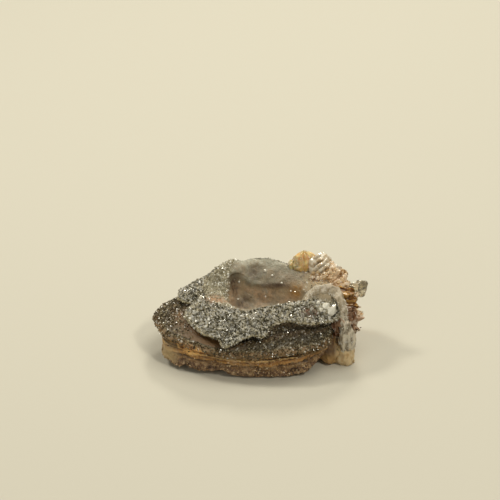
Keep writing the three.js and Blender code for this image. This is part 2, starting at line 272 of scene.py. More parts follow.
# Every zone has its own roughness: amounts of swells, of knobs and of grit, and how deep it is set back.
ROUGHNESS = (
    (("base", "groove"), 0.4, 0, 0.12, 0),
    (("skirt", "skirt_edge"), 0.25, 0, 0.06, 0.12),
    (("plate", "plate_edge", "shade"), 0.28, 0, 0.05, 0.2),
    (("rim",), 0.3, 0.25, 0.06, 0),
    (("bowl",), 0.35, 0.12, 0.05, 0),
)
points = stand(profile)
swell, knobs, grit = cloud(points, 4, 3, 5), cloud(points, 1.8, 3, 10), cloud(points, 0.9, 4, 6)
lumps = zone_share("base") * (
    layered * (0.16 * grit + 0.1 * knobs) + (1 - layered) * (0.6 * cloud(points, 2.4, 2, 7) + 0.08 * grit)
)
for names, swelling, knobbing, gritting, set_back in ROUGHNESS:
    lumps = lumps + zone_share(*names) * (swelling * swell + knobbing * knobs + gritting * grit - set_back)
points = points + outward(points) * lumps[..., None]
points[..., 2] = np.maximum(points[..., 2], 0)


def add_object(name, data):
    """An object in the scene."""
    added = bpy.data.objects.new(name, data)
    bpy.context.scene.collection.objects.link(added)
    return added


def new_piece(name, points, faces):
    """A piece with its place in its mesh, from points in millimetres."""
    mesh = bpy.data.meshes.new(name)
    mesh.from_pydata((np.asarray(points, float).reshape(-1, 3) * MM).tolist(), [], faces)
    mesh.shade_smooth()
    return add_object(name, mesh)


def keep_mask(piece, name, values):
    """Stores one number per point, which a material or the growth of crystals reads by name."""
    values = np.asarray(values, np.float32)
    piece.data.attributes.new(name, "FLOAT", "POINT").data.foreach_set("value", values.ravel())


def ring_faces(count, around):
    """Faces of a closed shape of rings between a first and a last point."""
    faces = []
    for i in range(around):
        k = (i + 1) % around
        faces.append((0, 1 + k, 1 + i))
        for j in range(count - 1):
            a, b = 1 + j * around, 1 + (j + 1) * around
            faces.append((a + i, a + k, b + k, b + i))
        b = 1 + (count - 1) * around
        faces.append((b + i, b + k, 1 + count * around))
    return faces


def per_point(values):
    """Grid values in the order of the body's points: one for each pole and all for the rings between."""
    grid = np.broadcast_to(values, points.shape[:2])
    return np.concatenate([[grid[0, 0]], grid[1:-1].ravel(), [grid[-1, 0]]])


body_points = np.concatenate([points[:1, 0], points[1:-1].reshape(-1, 3), points[-1:, 0]])
rose = new_piece("rose_stone", body_points, ring_faces(len(zones) - 2, COLUMNS))

# Where the stone is stained or bare, where druse has grown on it, and where shade and light are painted on
# it.
x, y, z = np.moveaxis(points, -1, 0)
patches = 0.5 + 0.5 * cloud(points, 5, 3, 8)
peach = spot((-8, -1.2, 11.9), (3.4, 2.3, 2.2))
rust = spot((9.6, -6, 11.8), (2.4, 1.8, 2))
shoulder_tan = spot((12.6, -1.4, 13.6), (4.6, 3.4, 2.4))
fan_ground = spot((13, 4.5, 13), (6, 5.5, 6))
orange = np.clip(2 * spot((-13.4, -8.7, 5.2), (4.8, 3, 1.3)), 0, 1)
tangle = np.clip(1.6 * spot((16, -2.6, 7.8), (3.2, 3.2, 5)), 0, 1) * (z < 10.2)
bare = hump(x, -10, 6) * (up_skirt > 0.25) * np.clip(0.4 - y / 2, 0, 1)
left_rim = np.clip((-4.8 - x) / 1.5, 0, 1) * zone_share("rim")
left_rim = left_rim + np.clip(-5.8 - x, 0, 1) * zone_share("bowl") * (y < 5)
left_rim = np.clip(left_rim - 0.8 * peach, 0, 1)
rim_start = np.flatnonzero(zones == "rim")[0]
crest = hump(np.arange(len(zones)), rim_start, 6)[:, None] * np.clip(y / 4 - 1, 0, 1)
plate_druse = zone_share("plate") + 0.35 * zone_share("plate_edge")
plate_druse = plate_druse - 1.5 * crest - 0.8 * peach - 0.7 * rust - 1.2 * shoulder_tan - 1.5 * fan_ground
plate_druse = np.clip(plate_druse, 0, 1)
coarse = spot((12, -4.8, 12.4), (3, 1.5, 1.6)) + 0.6 * spot((-12.2, -3.4, 10.4), (3, 3, 2))
on_plate = zone_share("plate", "plate_edge")
skirt_druse = zone_share("skirt") * np.clip(1.2 - 1.4 * bare, 0, 1) * np.clip(0.4 + patches, 0, 1)
skirt_druse = skirt_druse + 0.5 * zone_share("skirt_edge") + 0.5 * zone_share("shade")
base_grit = zone_share("base") * (1 - 0.35 * layered) * np.clip(1.6 * patches - 0.2, 0, 1)
bowl_sparks = 0.7 * fan_ground * zone_share("rim", "bowl", "plate") + 0.02 * zone_share("bowl")
# Pale patches on the bowl's lit right wall and on a lit ridge at the left of its back: painted light.
bowl_pale = spot((4.8, 4.5, 10), (1.8, 1.4, 1.6)) + spot((-3.4, 5.2, 11), (0.9, 1.6, 2.8))
# Dark brown spots in the bowl's left hollow, under its overhanging back ledge and deep down: painted shade.
BOWL_SHADE_SPOTS = (
    (1, (-5, 4.6, 11.6), (1.7, 2, 3.2)), (0.7, (-1, 6.2, 13), (1.8, 2, 1.9)),
    (0.9, (3.4, 4.8, 11.3), (4.4, 1.4, 0.9)), (0.25, (0, 4.4, 8.4), (4.5, 3, 2)),
    (0.7, (-3.4, 3.2, 8.4), (2.8, 3, 1.8)),
)
bowl_brown = sum(amount * spot(centre, radius) for amount, centre, radius in BOWL_SHADE_SPOTS)
MASKS = {
    "layers": up_base,
    "base": zone_share("base", "under", "groove"),
    "seam": seam * fade,
    "skirt": zone_share("skirt", "skirt_edge"),
    "up_skirt": up_skirt,
    "plate": on_plate,
    "edge": zone_share("plate_edge"),
    "bare": bare * zone_share("skirt"),
    "shade": zone_share("shade", "groove"),
    "bowl": zone_share("bowl", "rim"),
    "depth": down_bowl,
    # The amber patch is the glow of the bowl's lit right wall: painted light.
    "amber": spot((7, 3.4, 10.9), (2.8, 2.6, 2.4)),
    "peach": peach,
    "rust": rust,
    "orange": orange * zone_share("base", "groove", "skirt_edge"),
    "cream": cream,
    "shoulder_tan": shoulder_tan,
    "fan_ground": fan_ground,
    "bowl_brown": np.clip(bowl_brown, 0, 1),
    "bowl_pale": np.clip(bowl_pale, 0, 1),
    "left_rim": left_rim,
    "crest": crest,
    "plate_druse": plate_druse,
    "skirt_druse": np.clip(skirt_druse, 0, 1),
    "coarse_druse": np.clip(coarse + 0.12 * plate_druse, 0, 1) * on_plate,
    "base_grit": 0.9 * base_grit * (1 - 0.9 * cream),
    "bowl_sparks": bowl_sparks,
    "tangle": tangle,
}
for name, values in MASKS.items():
    keep_mask(rose, name, per_point(values))


def paint(code):
    """A colour from its hexadecimal code, as the shader's linear values."""
    channels = [int(code[k:k + 2], 16) / 255 for k in (0, 2, 4)]
    return [c / 12.92 if c <= 0.04045 else ((c + 0.055) / 1.055) ** 2.4 for c in channels] + [1]


def add_node(tree, kind, inputs, **settings):
    """A node with its settings, and its inputs either set or linked from another node's output."""
    node = tree.nodes.new(kind)
    for name, value in settings.items():
        setattr(node, name, value)
    for name, value in inputs.items():
        if isinstance(value, bpy.types.NodeSocket):
            tree.links.new(value, node.inputs[name])
        else:
            node.inputs[name].default_value = value
    return node


def new_group(name, inputs, output, kind):
    """An empty shader group, with numbers or a place going in and one output of a kind."""
    group = bpy.data.node_groups.new(name, "ShaderNodeTree")
    for label in inputs:
        socket = "NodeSocketVector" if label == "Place" else "NodeSocketFloat"
        group.interface.new_socket(label, in_out="INPUT", socket_type=socket)
    group.interface.new_socket(output, in_out="OUTPUT", socket_type=kind)
    return group, group.nodes.new("NodeGroupInput").outputs


def mottle_group():
    """Patches of noise of a size in millimetres, stretched so that low becomes 0 and high becomes 1."""
    group, given = new_group("mottle", ("Place", "Size", "Low", "High"), "Share", "NodeSocketFloat")
    fineness = add_node(group, "ShaderNodeMath", {0: 1 / MM, 1: given["Size"]}, operation="DIVIDE")
    patches = add_node(group, "ShaderNodeTexNoise", {
        "Vector": given["Place"], "Scale": fineness.outputs[0], "Detail": 4.0, "Roughness": 0.6,
    })
    share = add_node(group, "ShaderNodeMapRange", {
        "Value": patches.outputs["Fac"], "From Min": given["Low"], "From Max": given["High"],
    })
    add_node(group, "NodeGroupOutput", {"Share": share.outputs["Result"]})
    return group


def relief_group():
    """Normals of a fine unevenness, whose full depth is in metres."""
    group, given = new_group("relief", ("Height", "Strength", "Depth"), "Normal", "NodeSocketVector")
    bump = add_node(group, "ShaderNodeBump", {
        "Height": given["Height"], "Strength": given["Strength"], "Distance": given["Depth"],
    })
    add_node(group, "NodeGroupOutput", {"Normal": bump.outputs["Normal"]})
    return group


MOTTLE, RELIEF = mottle_group(), relief_group()
QUARTZ_IOR = 1.54
STONE_GLOW = (1.0, 0.75, 0.5)


class Finish:
    """A kind of quartz as a material. Colours are codes or sockets; shares are numbers, masks or sockets."""

    def __init__(self, name, roughness, clear=0.0, glow=0.0, glow_tint=STONE_GLOW, glow_depth=0.8):
        self.material = bpy.data.materials.new(name)
        self.material.use_nodes = True
        self.tree = self.material.node_tree
        self.shader = self.tree.nodes["Principled BSDF"]
        self.place = self.tree.nodes.new("ShaderNodeTexCoord").outputs["Object"]
        values = {
            "IOR": QUARTZ_IOR, "Roughness": roughness, "Transmission Weight": clear,
            "Subsurface Weight": glow, "Subsurface Radius": glow_tint, "Subsurface Scale": glow_depth * MM,
        }
        for socket, value in values.items():
            self.shader.inputs[socket].default_value = value

    def node(self, kind, inputs, output=0, **settings):
        """The output of a new node in this material."""
        return add_node(self.tree, kind, inputs, **settings).outputs[output]

    def stretched(self, *factors):
        """The piece's coordinates, drawn out along the axes whose factor is below 1."""
        return self.node("ShaderNodeVectorMath", {0: self.place, 1: factors}, operation="MULTIPLY")

    def mottle(self, size, low=0.0, high=1.0, place=None):
        """The share of patches of that size in millimetres, between two levels of their noise."""
        where = self.place if place is None else place
        values = {"Place": where, "Size": size, "Low": low, "High": high}
        return self.node("ShaderNodeGroup", values, node_tree=MOTTLE)

    def mask(self, name):
        """A number that the piece's mesh keeps for each point."""
        return self.node("ShaderNodeAttribute", {}, "Fac", attribute_name=name)

    def spread(self, value, low, high):
        """A value stretched so that low becomes 0 and high becomes 1."""
        return self.node("ShaderNodeMapRange", {"Value": value, "From Min": low, "From Max": high})

    def plus(self, value, factor, base):
        """A value times a factor, added to a base."""
        return self.node("ShaderNodeMath", {0: value, 1: factor, 2: base}, operation="MULTIPLY_ADD")

    def lay(self, colour, *layers):
        """A colour with others laid over it in turn. A layer is its colour and the shares that thin it."""
        for top, *shares in layers:
            values = [self.mask(share) if isinstance(share, str) else share for share in shares]
            factor = values[0]
            for value in values[1:]:
                factor = self.plus(factor, value, 0.0)
            under, over = (paint(each) if isinstance(each, str) else each for each in (colour, top))
            colour = self.node("ShaderNodeMix", {"Factor": factor, 6: under, 7: over}, 2, data_type="RGBA")
        return colour

    def bands(self, value, *stops):
        """Colours along a value from 0 to 1; stops are places and colour codes."""
        node = add_node(self.tree, "ShaderNodeValToRGB", {"Fac": value})
        elements = node.color_ramp.elements
        for place, _ in stops[2:]:
            elements.new(place)
        for element, (place, code) in zip(elements, stops):
            element.position = place
            element.color = paint(code)
        return node.outputs["Color"]

    def feed(self, socket, value):
        """Links a value that changes over the surface to the shader."""
        self.tree.links.new(value, self.shader.inputs[socket])

    def coat(self, colour, *layers):
        """Gives the shader a colour with others laid over it."""
        self.feed("Base Color", self.lay(colour, *layers))

    def roughen(self, height, strength, depth):
        """Fine relief of a depth in millimetres."""
        values = {"Height": height, "Strength": strength, "Depth": depth * MM}
        self.feed("Normal", self.node("ShaderNodeGroup", values, node_tree=RELIEF))

    def light_through(self, tint):
        """Shadow rays pass a clear crystal, so that the stone below it is lit."""
        clear = add_node(self.tree, "ShaderNodeBsdfTransparent", {"Color": paint(tint)})
        ray = self.tree.nodes.new("ShaderNodeLightPath")
        either = add_node(self.tree, "ShaderNodeMixShader", {
            0: ray.outputs["Is Shadow Ray"], 1: self.shader.outputs[0], 2: clear.outputs[0],
        })
        self.tree.links.new(either.outputs[0], self.tree.nodes["Material Output"].inputs["Surface"])


def settle(piece, finish=None):
    """Puts a piece on the one body, with its finish if it is given one."""
    if finish:
        piece.data.materials.append(finish.material)
    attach(piece, "root")


stone = Finish("chalcedony", roughness=0.4, glow=0.25)
wide, fine, dust = stone.mottle(4), stone.mottle(0.9), stone.mottle(0.3)
plate_tone = stone.lay("565244", ("1e1b13", stone.spread(fine, 0.42, 0.58)))
skirt_tone = stone.bands(
    stone.plus(fine, 0.22, stone.mask("up_skirt")), (0.05, "7d6642"), (0.16, "6f5129"), (0.24, "786a4c"),
    (0.36, "585040"), (0.62, "4d4637"), (0.85, "664c2c"), (1.0, "352918"),
)
layer_place = stone.plus(fine, 0.2, stone.mask("layers"))
layer_place = stone.plus(wide, 0.25, layer_place)
layer_place = stone.plus(layer_place, 1.0, -0.1)
layer_tone = stone.bands(
    layer_place, (0.0, "5c4330"), (0.16, "84654e"), (0.34, "6c4f3a"), (0.48, "96734a"), (0.56, "38230e"),
    (0.62, "bd8d4e"), (0.74, "8f6230"), (0.82, "d8b276"), (0.90, "432a11"), (1.0, "bf965c"),
)
crumbly = stone.spread(stone.mask("layers"), 0.5, 0.15)
layer_tone = stone.lay(
    layer_tone,
    ("ae9270", stone.mottle(1.3, 0.5, 0.64), 0.7),
    ("4a3018", stone.mottle(1.7, 0.58, 0.7), 0.7),
    ("cfb08a", stone.spread(fine, 0.53, 0.62), crumbly, 0.9),
    ("301d0d", stone.spread(fine, 0.46, 0.38), crumbly, 0.9),
    ("b39a70", "cream"),
)
wall_tone = stone.lay("8c7d67", ("898472", stone.spread(wide, 0.42, 0.58)))
deep_tone = stone.lay("b89f84", ("a69a85", stone.spread(wide, 0.42, 0.58)))
bowl_tone = stone.lay(
    wall_tone,
    (deep_tone, stone.spread(stone.mask("depth"), 0.12, 0.3)),
    ("8a8577", stone.spread(fine, 0.5, 0.62), 0.6),
    # Painted light: the amber glow of the bowl's lit right wall.
    ("a37c46", "amber", stone.spread(fine, 0.25, 0.6)),
    # Painted shade: dark brown in the bowl's hollows.
    ("503a28", "bowl_brown", stone.spread(fine, 0.2, 0.6)),
    ("7a6852", stone.mottle(2.2, 0.54, 0.68), 0.5),
    # Painted light: pale patches on the bowl's lit wall and ridge.
    ("b5a488", "bowl_pale", 0.7),
    ("86816f", "left_rim"),
)
fan_tone = stone.lay("b09a78", ("7d5f3c", stone.spread(fine, 0.45, 0.62)))
gold = stone.lay("ffcb80", ("8a5a26", stone.mottle(0.5, 0.5, 0.6, stone.stretched(0.25, 0.25, 1))))
stone.coat(
    "8b8671",
    ("6b6049", stone.spread(wide, 0.35, 0.65)),
    (plate_tone, "plate"),
    (skirt_tone, "skirt"),
    ("7d5c37", "bare", 0.85),
    (layer_tone, "base"),
    (bowl_tone, "bowl"),
    ("a7a392", "crest", stone.spread(fine, 0.25, 0.5)),
    ("997859", "peach", stone.spread(fine, 0.25, 0.5)),
    ("6e4a30", "rust", stone.spread(fine, 0.4, 0.6)),
    ("97886d", "shoulder_tan"),
    (fan_tone, "fan_ground"),
    ("b9ad8b", "edge", 0.6),
    ("2e2415", "seam", 0.7),
    ("5a452c", "shade", 0.8),
    (gold, "orange", 0.9),
)
stone.feed("Roughness", stone.plus(fine, 0.33, 0.22))
stone.roughen(stone.plus(fine, stone.mask("base"), dust), strength=0.8, depth=0.2)
settle(rose, stone)
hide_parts("chalcedony_rose")

# The two feet at the right end: worn lumps of cream and tan chalcedony that grew out of the body. They reach
# the ground below the fan and carry that end of the stone.
ROOT_SPREAD = 0.6
TIP_SPREAD = 1.1
RAGGED_TIP = 0.09
RIB_CREST = 0.6
RIB_FALL = 2.4
CRUMPLE_SIZE = 1.3
TINT_SEED = 7


def sides(along, faces):
    """Unit directions across a shape and out of its broad side."""
    across = np.cross(faces, along)
    across = across / np.linalg.norm(across, axis=-1, keepdims=True)
    normal = np.cross(along, across)
    return across, normal / np.linalg.norm(normal, axis=-1, keepdims=True)


def crumpled(grid, amount, size, seed, stretch=(1, 1, 1)):
    """A grid of points pushed about by noise of a size in millimetres."""
    pushes = [cloud(grid * stretch, size, 3, seed + k) for k in (1, 2, 3)]
    return grid + amount * np.stack(pushes, axis=-1)


def closed(start, grid, end, shares):
    """Rings closed by a point at each end: points, faces and every point's share of the length."""
    points = np.concatenate([[start], grid.reshape(-1, 3), [end]])
    return points, ring_faces(*grid.shape[:2]), np.concatenate([[0], shares.ravel(), [1]])


def lens_shape(
    root, tip, faces, width, thick, ribs=0, rib_depth=0.0, cup=0.0, crumple=0.15, seed=0, detail=(38, 64),
):
    """A closed petal from root to tip, fuller towards its tip, ribbed along it and cupped across it."""
    root, tip = np.array(root, float), np.array(tip, float)
    along = tip - root
    across, normal = sides(along, faces)
    polar = np.linspace(0, math.pi, detail[0] + 2)[1:-1, None]
    around = np.linspace(0, 2 * math.pi, detail[1], endpoint=False)[None]
    share = np.broadcast_to((1 - np.cos(polar)) / 2, detail)
    side = np.cos(around) * np.sin(polar)
    face = np.sin(around) * np.sin(polar)
    lean = np.cos(around) * np.ones_like(polar)
    fullness = ROOT_SPREAD + (TIP_SPREAD - ROOT_SPREAD) * share
    waves = np.zeros_like(lean)
    if ribs:
        fold_place = np.stack([ribs * lean, 0.7 * share, np.full_like(lean, 3.7 * seed)], axis=-1)
        folds = np.array([noise.noise(Vector(p)) for p in fold_place.reshape(-1, 3)]).reshape(lean.shape)
        waves = RIB_CREST - RIB_FALL * np.abs(folds)
    lift = rib_depth * waves * share ** 0.7 + cup * (lean ** 2 - 0.4) * share ** 2 * np.sin(polar)
    length = share + RAGGED_TIP * waves * np.clip(2 * share - 1, 0, 1) * (ribs > 0)
    grid = (
        root
        + along * length[..., None]
        + across * (width / 2 * side * fullness)[..., None]
        + normal * (thick / 2 * face + lift)[..., None]
    )
    return closed(root, crumpled(grid, crumple, CRUMPLE_SIZE, seed + 10), tip, share)


def join_shapes(name, shapes):
    """One piece of closed shapes, which keeps each point's share of its length and its shape's tint."""
    points, faces, lengths, tints = [], [], [], []
    start = 0
    picked = np.random.default_rng(TINT_SEED).random(len(shapes))
    for tint, (shape_points, shape_faces, shape_lengths) in zip(picked, shapes):
        points.append(shape_points)
        faces.extend(tuple(v + start for v in face) for face in shape_faces)
        lengths.append(shape_lengths)
        tints.append(np.full(len(shape_points), tint))
        start += len(shape_points)
    piece = new_piece(name, np.concatenate(points), faces)
    keep_mask(piece, "length", np.concatenate(lengths))
    keep_mask(piece, "tint", np.concatenate(tints))
    return piece


def petals(name, parts, seed, step=3, **folds):
    """One piece of petals. Each part is a root, a tip, the way it faces, its width and its thickness."""
    shapes = [lens_shape(*part, **folds, seed=seed + step * n) for n, part in enumerate(parts)]
    return join_shapes(name, shapes)


FEET = (
    ((16.2, -2.4, 7), (16.9, -5, -1.6), (0, -1, 0), 4.4, 5.8),
    ((13.4, -3.4, 7), (13.9, -5, -0.4), (0, -1, 0), 4.6, 5),
)
feet = petals("stone_feet", FEET, seed=43, step=1, crumple=0.45)
for v in feet.data.vertices:
    v.co.z = max(v.co.z, 0)
cream_stone = Finish("cream_chalcedony", roughness=0.4, glow=0.3, glow_depth=1.0)
place = add_node(cream_stone.tree, "ShaderNodeSeparateXYZ", {"Vector": cream_stone.place}).outputs
cream_stone.coat(
    "b18d58",
    ("5f462b", cream_stone.spread(place["Z"], 1.6 * MM, 3.4 * MM)),
    ("d2ba92", cream_stone.spread(place["X"], 14.4 * MM, 15.4 * MM)),
    ("9c7845", cream_stone.mottle(1.2, 0.5, 0.65), 0.6),
)
cream_stone.roughen(cream_stone.mottle(0.4), strength=0.5, depth=0.12)
settle(feet, cream_stone)

# The curled lamella: a strip of grey chalcedony that grew from the bowl's lip. It arches over the end of the
# plate and hangs down to the foot, and its hanging end is streaked.
CURL_PATH = (
    (8.4, -3.6, 12.9), (10.4, -1.8, 13.6), (12.2, -0.9, 13.7), (14.4, -0.7, 13.2), (15.8, -2.4, 11.9),
    (16.3, -4.2, 9.8), (16.7, -5.3, 7.8), (17.1, -5.8, 5.6), (17.3, -5.4, 3.2),
)
CURL_WIDTHS = (0.8, 1.9, 2.6, 2.6, 1.7, 1.6, 2.4, 3.5, 3.2)
CURL_THICK = 1.3
CURL_FACING = (0.3, -0.8, 0.5)
CURL_CRUMPLE = 0.26
STREAK_SIZE = 0.9
STREAK_STRETCH = (1, 1, 0.4)


def between_stations(values, count):
    """A smooth run of that many values through the given ones."""
    values = np.array(values, float)
    values = values.reshape(len(values), -1)
    ends = np.concatenate([2 * values[:1] - values[1:2], values, 2 * values[-1:] - values[-2:-1]])
    run = np.linspace(0, len(values) - 1, count)
    k = np.minimum(run.astype(int), len(values) - 2)
    t = (run - k)[:, None]
    a, b, c, d = ends[k], ends[k + 1], ends[k + 2], ends[k + 3]
    return b + 0.5 * t * (c - a + t * (2 * a - 5 * b + 4 * c - d + t * (3 * (b - c) + d - a)))


def ribbon(path, widths, thick, faces, crumple, seed, detail=(60, 32)):
    """A closed flat strip along a path in millimetres, its broad side turned to one way."""
    centre = between_stations(path, detail[0])
    half = between_stations(widths, detail[0])[:, 0] / 2
    along = np.gradient(centre, axis=0)
    across, normal = sides(along, faces)
    angle = np.linspace(0, 2 * math.pi, detail[1], endpoint=False)[None, :, None]
    grid = (
        centre[:, None]
        + across[:, None] * np.cos(angle) * half[:, None, None]
        + normal[:, None] * np.sin(angle) * thick / 2
    )
    grid = crumpled(grid, crumple, STREAK_SIZE, seed, STREAK_STRETCH)
    shares = np.repeat(np.linspace(0, 1, detail[0]), detail[1])
    return closed(centre[0] - along[0], grid, centre[-1] + along[-1], shares)


curl_shape = ribbon(CURL_PATH, CURL_WIDTHS, CURL_THICK, CURL_FACING, CURL_CRUMPLE, 60)
curled = join_shapes("curled_lamella", [curl_shape])
grey_stone = Finish("grey_lamella", roughness=0.35, glow=0.3)
streaks = grey_stone.mottle(0.7, place=grey_stone.stretched(1, 1, 0.25))
arch = grey_stone.lay("b3a692", ("94866e", grey_stone.spread(streaks, 0.42, 0.6)))
hanging = grey_stone.lay("cdc3b1", ("6c5f4b", grey_stone.spread(streaks, 0.42, 0.6)))
grey_stone.coat(arch, (hanging, grey_stone.spread(grey_stone.mask("length"), 0.5, 0.7)))
grey_stone.roughen(streaks, strength=0.7, depth=0.2)
settle(curled, grey_stone)

# The druse: a sugar of quartz points that grew on the plate, smokier on the skirt and paler on the left of
# the rim and in the bowl. Each is a six-sided prism with a six-sided tip, which leans out of the stone.
DENSEST = 1e8
FULL_TURN = 6.28


def quartz_point():
    """One quartz point of unit width, a little uneven, with its foot sunk below the stone's face."""
    corners = [(0.5 * math.cos(k * math.pi / 3), 0.5 * math.sin(k * math.pi / 3)) for k in range(6)]
    shoulder_heights = (0.1, 0.22, 0.06, 0.25, 0.08, 0.16)
    points = [(x, y, -0.5) for x, y in corners]
    points += [(x, y, z) for (x, y), z in zip(corners, shoulder_heights)]
    points.append((0.08, -0.04, 0.8))
    faces = [tuple(range(5, -1, -1))]
    faces += [(k, (k + 1) % 6, 6 + (k + 1) % 6, 6 + k) for k in range(6)]
    faces += [(6 + k, 6 + (k + 1) % 6, 12) for k in range(6)]
    piece = new_piece("quartz_point", np.array(points) / MM, faces)
    piece.data.shade_flat()
    return piece


def growth_tree():
    """Grows copies of one crystal on a mesh, where its mask says, with sizes and leans picked by a seed."""
    tree = bpy.data.node_groups.new("grow_crystals", "GeometryNodeTree")
    sockets = {}
    for name, kind in (
        ("Geometry", "NodeSocketGeometry"), ("Crystal", "NodeSocketObject"), ("Mask", "NodeSocketString"),
        ("Spacing", "NodeSocketFloat"), ("Smallest", "NodeSocketFloat"), ("Largest", "NodeSocketFloat"),
        ("Lean", "NodeSocketFloat"), ("Seed", "NodeSocketInt"), ("Finish", "NodeSocketMaterial"),
    ):
        sockets[name] = tree.interface.new_socket(name, in_out="INPUT", socket_type=kind).identifier
    tree.interface.new_socket("Geometry", in_out="OUTPUT", socket_type="NodeSocketGeometry")
    given = tree.nodes.new("NodeGroupInput").outputs

    def pick(low, high, seed):
        """A number between two others, picked for each crystal."""
        ends = {2: low, 3: high, "Seed": seed}
        return add_node(tree, "FunctionNodeRandomValue", ends, data_type="FLOAT").outputs[1]

    where = add_node(tree, "GeometryNodeInputNamedAttribute", {"Name": given["Mask"]}, data_type="FLOAT")
    seeds = add_node(tree, "GeometryNodeDistributePointsOnFaces", {
        "Mesh": given["Geometry"], "Distance Min": given["Spacing"], "Density Max": DENSEST,
        "Density Factor": where.outputs["Attribute"], "Seed": given["Seed"],
    }, distribute_method="POISSON")
    back = add_node(tree, "ShaderNodeMath", {0: given["Lean"], 1: -1.0}, operation="MULTIPLY")
    least = add_node(tree, "ShaderNodeCombineXYZ", {"X": back.outputs[0], "Y": back.outputs[0], "Z": 0.0})
    most = add_node(tree, "ShaderNodeCombineXYZ", {"X": given["Lean"], "Y": given["Lean"], "Z": FULL_TURN})
    lean = add_node(tree, "FunctionNodeRandomValue", {
        0: least.outputs[0], 1: most.outputs[0], "Seed": 1,
    }, data_type="FLOAT_VECTOR")
    turned = add_node(tree, "FunctionNodeRotateRotation", {
        "Rotation": seeds.outputs["Rotation"], "Rotate By": lean.outputs["Value"],
    }, rotation_space="LOCAL")
    crystal = add_node(tree, "GeometryNodeObjectInfo", {"Object": given["Crystal"]})
    grown = add_node(tree, "GeometryNodeInstanceOnPoints", {
        "Points": seeds.outputs["Points"], "Instance": crystal.outputs["Geometry"],
        "Rotation": turned.outputs["Rotation"], "Scale": pick(given["Smallest"], given["Largest"], 2),
    })
    tinted = add_node(tree, "GeometryNodeStoreNamedAttribute", {
        "Geometry": grown.outputs["Instances"], "Name": "tint", "Value": pick(0.0, 1.0, 3),
    }, data_type="FLOAT", domain="INSTANCE")
    real = add_node(tree, "GeometryNodeRealizeInstances", {"Geometry": tinted.outputs["Geometry"]})
    finished = add_node(tree, "GeometryNodeSetMaterial", {
        "Geometry": real.outputs["Geometry"], "Material": given["Finish"],
    })
    add_node(tree, "NodeGroupOutput", {"Geometry": finished.outputs["Geometry"]})
    return tree, sockets


crystal = quartz_point()
growth, growth_sockets = growth_tree()


def grow(name, ground, finish, mask, shape=crystal, *, spacing, widths, lean, seed):
    """Crystals grown on another piece, as a plain mesh. Spacing and widths are in millimetres."""
    piece = add_object(name, ground.data.copy())
    modifier = piece.modifiers.new("growth", "NODES")
    modifier.node_group = growth
    values = {
        "Crystal": shape, "Mask": mask, "Spacing": spacing * MM, "Smallest": widths[0] * MM,
        "Largest": widths[1] * MM, "Lean": lean, "Seed": seed, "Finish": finish.material,
    }
    for key, value in values.items():
        modifier[growth_sockets[key]] = value
    bpy.context.view_layer.update()
    graph = bpy.context.evaluated_depsgraph_get()
    mesh = bpy.data.meshes.new_from_object(piece.evaluated_get(graph))
    piece.modifiers.remove(modifier)
    piece.data = mesh
    mesh.name = name
    settle(piece)


def tinted_quartz(name, roughness, clear, shadow, *stops):
    """Quartz whose crystals differ in tint, and the colour of its shadow where light passes it."""
    finish = Finish(name, roughness, clear)
    finish.tint = finish.bands(finish.mask("tint"), *stops)
    finish.feed("Base Color", finish.tint)
    if shadow:
        finish.light_through(shadow)
    return finish


# Each crystal's tint is picked at random from white to near black. The white crystals stand for glints and
# the near-black ones for facets in shade: painted highlight and painted shade, over the quartz's own grey.
# The clumps below lighten and darken them in patches. The smoky and pale quartz are tinted the same way.
clear_quartz = tinted_quartz(
    "clear_quartz", 0.06, 0.55, "b6af9a", (0.0, "ffffff"), (0.4, "fbf4e2"), (0.58, "b4ac92"),
    (0.8, "6e6750"), (1.0, "423d2d"),
)
clumps = clear_quartz.mottle(1.1)
clear_quartz.coat(
    clear_quartz.tint,
    ("6f6a58", clear_quartz.mottle(2.4, 0.5, 0.64), 0.5),
    ("2c281d", clear_quartz.spread(clumps, 0.55, 0.63), 0.55),
    ("ffffff", clear_quartz.spread(clumps, 0.45, 0.38), 0.6),
)
grow(
    "plate_druse", rose, clear_quartz, "plate_druse",
    spacing=0.21, widths=(0.18, 0.46), lean=0.75, seed=3,
)

smoky_quartz = tinted_quartz(
    "smoky_quartz", 0.06, 0.5, "c4bba6", (0.0, "ffffff"), (0.1, "cbbfa2"), (0.3, "746850"), (1.0, "463d2d"),
)
grow(
    "skirt_druse", rose, smoky_quartz, "skirt_druse",
    spacing=0.25, widths=(0.18, 0.42), lean=0.75, seed=4,
)

pale_quartz = tinted_quartz(
    "pale_quartz", 0.06, 0.4, "cfcaba", (0.0, "ffffff"), (0.3, "d4cdb9"), (1.0, "8b8470"),
)
grow(
    "rim_druse", rose, pale_quartz, "left_rim",
    spacing=0.28, widths=(0.2, 0.46), lean=0.75, seed=13,
)
grow(
    "coarse_druse", rose, pale_quartz, "coarse_druse",
    spacing=0.5, widths=(0.36, 0.72), lean=0.7, seed=14,
)
grow(
    "bowl_druse", rose, pale_quartz, "bowl_sparks",
    spacing=0.36, widths=(0.16, 0.36), lean=0.8, seed=5,
)

# The base's grains: small tan crystals of quartz and crumbs of chalcedony. They grew out of its broken lower
# side and, more thinly, out of its ledges.
tan_grains = tinted_quartz(
    "tan_grains", 0.3, 0.15, None, (0.0, "ecd6b4"), (0.2, "bd9a6e"), (0.6, "8c6842"), (1.0, "553a21"),
)
grow(
    "base_grains", rose, tan_grains, "base_grit",
    spacing=0.3, widths=(0.12, 0.36), lean=0.8, seed=7,
)


